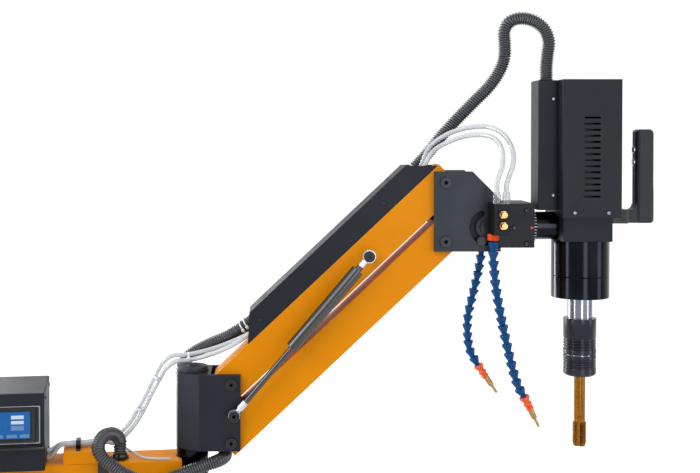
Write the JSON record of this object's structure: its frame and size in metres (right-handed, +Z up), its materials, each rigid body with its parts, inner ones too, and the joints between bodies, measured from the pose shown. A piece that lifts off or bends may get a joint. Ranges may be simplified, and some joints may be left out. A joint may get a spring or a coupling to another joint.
{
  "type": "arm tapping machine",
  "caption": "Column-mounted arm tapping machine with a swinging arm, a gas-sprung parallel forearm, a tilting and rolling motor head, a quick-change chuck and coolant hoses.",
  "frame": {"origin": "centre of the base plate's underside, on the column axis", "axes": "+X to the right along the forearm, towards the head; +Y back, away from the viewer; +Z up along the column"},
  "size_m": [1.2849, 0.232, 1.2259],
  "materials": {
    "yellow_paint": "orange-yellow powder coat",
    "black_paint": "fine textured black powder coat",
    "satin_black": "satin black",
    "bright_steel": "ground steel",
    "zinc": "bright zinc",
    "bronze": "sintered bronze",
    "brass": "turned brass",
    "gold": "titanium nitride coat",
    "screen": "lit blue screen",
    "black_plastic": "black moulded plastic",
    "clear_plastic": "clear polyurethane",
    "hose_blue": "blue moulded hose",
    "steel_paint": "cast aluminium"
  },
  "bodies": {
    "base": {"base_plate": "black_paint", "column": "yellow_paint", "column_shaft": "bright_steel"},
    "first_arm": {"first_arm": "yellow_paint", "arm_bearings": "bright_steel", "knuckle_post": "black_paint", "saddle_block": "yellow_paint", "cable_clips": "black_plastic", "conduit_gland": "black_plastic", "control_box": "black_paint", "screen_frame": "zinc", "touch_screen": "screen", "power_inlet": "black_plastic"},
    "power_rocker": {"power_rocker": "black_plastic"},
    "knuckle": {"knuckle_bracket": "black_paint", "post_cap": "satin_black", "knuckle_bearings": "bright_steel", "knuckle_pins": "satin_black", "lower_conduit": "black_plastic", "lower_tubes": "clear_plastic"},
    "upper_link": {"upper_beam": "yellow_paint", "upper_bushes": "bronze", "cable_cover": "black_paint", "spring_stud": "satin_black", "upper_conduit": "black_plastic", "upper_tubes": "clear_plastic"},
    "lower_link": {"lower_beam": "yellow_paint", "lower_bushes": "bronze"},
    "gas_rod": {"gas_rod": "zinc"},
    "gas_tube": {"gas_tube": "satin_black"},
    "head_bracket": {"bracket_plates": "black_paint", "bracket_pins": "satin_black"},
    "tilt_unit": {"tilt_block": "black_paint", "tilt_pin": "satin_black", "tilt_lock_bolt": "satin_black", "valve_block": "satin_black", "tube_fittings": "clear_plastic", "rear_outlet": "satin_black"},
    "knob_top": {"valve_knob_top": "brass"},
    "knob_bottom": {"valve_knob_bottom": "brass"},
    "front_hose": {"front_hose": "hose_blue", "front_nozzle": "brass"},
    "rear_hose": {"rear_hose": "hose_blue", "rear_nozzle": "brass"},
    "head": {"roll_shaft": "satin_black", "scale_ring": "black_paint", "gear_mount": "satin_black", "motor_cover": "black_paint", "servo_motor": "steel_paint", "cable_channel": "black_paint", "gearbox": "satin_black", "handle_clamp": "satin_black", "handle": "black_paint"},
    "start_button": {"start_button": "bright_steel"},
    "reverse_button": {"reverse_button": "bright_steel"},
    "spindle": {"spindle": "bright_steel", "tap_adapter": "satin_black", "tap": "gold"},
    "chuck_sleeve": {"chuck_sleeve": "satin_black"},
    "adapter_ring": {"adapter_ring": "satin_black"}
  },
  "joints": [
    {"name": "arm_yaw", "type": "hinge", "parent": "base", "child": "first_arm", "pos_m": [0, 0, 0.412], "axis": [0, 0, 1], "range_deg": [-160, 160]},
    {"name": "power_switch", "type": "hinge", "parent": "first_arm", "child": "power_rocker", "pos_m": [0.052, 0.0965, 0.5245], "axis": [0.9917, 0.1288, 0], "range_deg": [-20, 0]},
    {"name": "forearm_yaw", "type": "hinge", "parent": "first_arm", "child": "knuckle", "pos_m": [0.39667, 0.05152, 0.54], "axis": [0, 0, 1], "range_deg": [-100, 100], "deforming": ["lower_conduit", "lower_tubes"]},
    {"name": "arm_lift", "type": "hinge", "parent": "knuckle", "child": "upper_link", "pos_m": [0.46547, 0.05152, 0.5906], "axis": [0, -1, 0], "range_deg": [-57, 7]},
    {"name": "lower_link_lift", "type": "hinge", "parent": "knuckle", "child": "lower_link", "pos_m": [0.46547, 0.05152, 0.4906], "axis": [0, -1, 0], "range_deg": [-58, 8]},
    {"name": "bracket_level", "type": "hinge", "parent": "upper_link", "child": "head_bracket", "pos_m": [0.82935, 0.05152, 0.93351], "axis": [0, -1, 0], "range_deg": [-8, 58], "deforming": ["upper_conduit", "upper_tubes"]},
    {"name": "spring_swing", "type": "hinge", "parent": "knuckle", "child": "gas_rod", "pos_m": [0.47077, -0.00848, 0.5413], "axis": [0, -1, 0], "range_deg": [-55, 8]},
    {"name": "spring_stroke", "type": "slide", "parent": "gas_rod", "child": "gas_tube", "axis": [0.6462, 0, 0.7631], "range_m": [-0.046, 0.0065]},
    {"name": "head_tilt", "type": "hinge", "parent": "head_bracket", "child": "tilt_unit", "pos_m": [0.90036, 0.05152, 0.85751], "axis": [0, 1, 0], "range_deg": [-20, 48]},
    {"name": "head_roll", "type": "hinge", "parent": "tilt_unit", "child": "head", "pos_m": [0.95035, 0.05152, 0.85751], "axis": [1, 0, 0], "range_deg": [-90, 90]},
    {"name": "valve_top_turn", "type": "hinge", "parent": "tilt_unit", "child": "knob_top", "pos_m": [0.91385, -0.05548, 0.88371], "axis": [0, 1, 0], "range_deg": [-360, 360]},
    {"name": "valve_bottom_turn", "type": "hinge", "parent": "tilt_unit", "child": "knob_bottom", "pos_m": [0.91385, -0.05548, 0.86531], "axis": [0, 1, 0], "range_deg": [-360, 360]},
    {"name": "front_hose_swing", "type": "hinge", "parent": "tilt_unit", "child": "front_hose", "pos_m": [0.90685, -0.01282, 0.84051], "axis": [0, 1, 0], "range_deg": [-14, 14]},
    {"name": "rear_hose_swing", "type": "hinge", "parent": "tilt_unit", "child": "rear_hose", "pos_m": [0.91236, 0.11682, 0.83751], "axis": [0, 1, 0], "range_deg": [-14, 14]},
    {"name": "start_press", "type": "slide", "parent": "head", "child": "start_button", "axis": [1, 0, 0], "range_m": [0, 0.0015], "stiffness_N_per_m": 500, "springref_m": -0.001},
    {"name": "reverse_press", "type": "slide", "parent": "head", "child": "reverse_button", "axis": [1, 0, 0], "range_m": [0, 0.0015], "stiffness_N_per_m": 500, "springref_m": -0.001},
    {"name": "spindle_turn", "type": "hinge", "parent": "head", "child": "spindle", "pos_m": [1.07035, 0.05152, 0.60751], "axis": [0, 0, 1], "continuous": true},
    {"name": "chuck_release", "type": "slide", "parent": "spindle", "child": "chuck_sleeve", "axis": [0, 0, 1], "range_m": [0, 0.006], "stiffness_N_per_m": 1500, "springref_m": -0.002},
    {"name": "ring_release", "type": "slide", "parent": "spindle", "child": "adapter_ring", "axis": [0, 0, -1], "range_m": [0, 0.004], "stiffness_N_per_m": 1500, "springref_m": -0.002}
  ],
  "couplings": [
    {"joint": "lower_link_lift", "follows": "arm_lift", "ratio": 1},
    {"joint": "bracket_level", "follows": "arm_lift", "ratio": -1},
    {"joint": "spring_swing", "follows": "arm_lift", "ratio": 0.9475},
    {"joint": "spring_stroke", "follows": "arm_lift", "m_per_rad": 0.04498}
  ]
}
